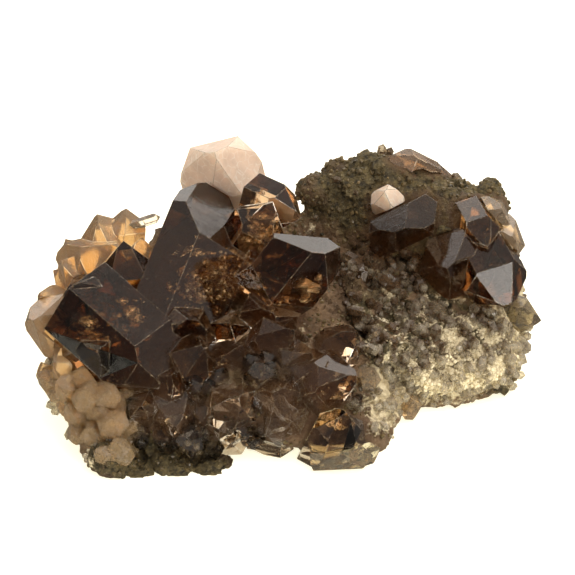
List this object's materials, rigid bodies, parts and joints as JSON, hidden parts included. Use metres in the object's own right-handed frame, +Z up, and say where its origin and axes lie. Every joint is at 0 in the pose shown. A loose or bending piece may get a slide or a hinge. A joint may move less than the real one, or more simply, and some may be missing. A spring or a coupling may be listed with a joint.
{
  "type": "smoky quartz crystal cluster",
  "caption": "Smoky quartz specimen: broken rock matrix with dark see-through six-sided crystals, paler frosted crystals on its rim and a sparkling druse in its hollow.",
  "frame": {"origin": "middle of the bounding box's underside, on the surface that the specimen stands on", "axes": "+X along the length, to the right of the side that is shown; +Y away from the viewer; +Z up"},
  "size_m": [0.094, 0.0664, 0.0408],
  "materials": {
    "matrix_rock": "rough broken rock, green-black with cream patches",
    "smoky_quartz": "see-through dark brown crystal with polished natural faces",
    "amber_quartz": "see-through amber crystal",
    "pale_quartz": "see-through pale yellow-brown crystal, lightly frosted",
    "frosted_quartz": "frosted, cloudy, pinkish cream crystal",
    "brown_quartz": "brown crystal, half matt",
    "druse": "crust of tiny crystals and grains"
  },
  "bodies": {
    "root": {"rock_matrix": "matrix_rock", "smoky_crystal_cluster": "smoky_quartz", "ledge_crystal": "smoky_quartz", "right_smoky_crystals": "smoky_quartz", "amber_flank_crystals": "amber_quartz", "pale_front_crystals": "pale_quartz", "pale_rear_crystals": "pale_quartz", "pale_crown_crystal": "frosted_quartz", "rod_crystal": "pale_quartz", "clear_edge_crystal": "pale_quartz", "perched_crystal": "frosted_quartz", "wall_top_crystals": "brown_quartz", "druse_crust": "druse"}
  },
  "joints": []
}
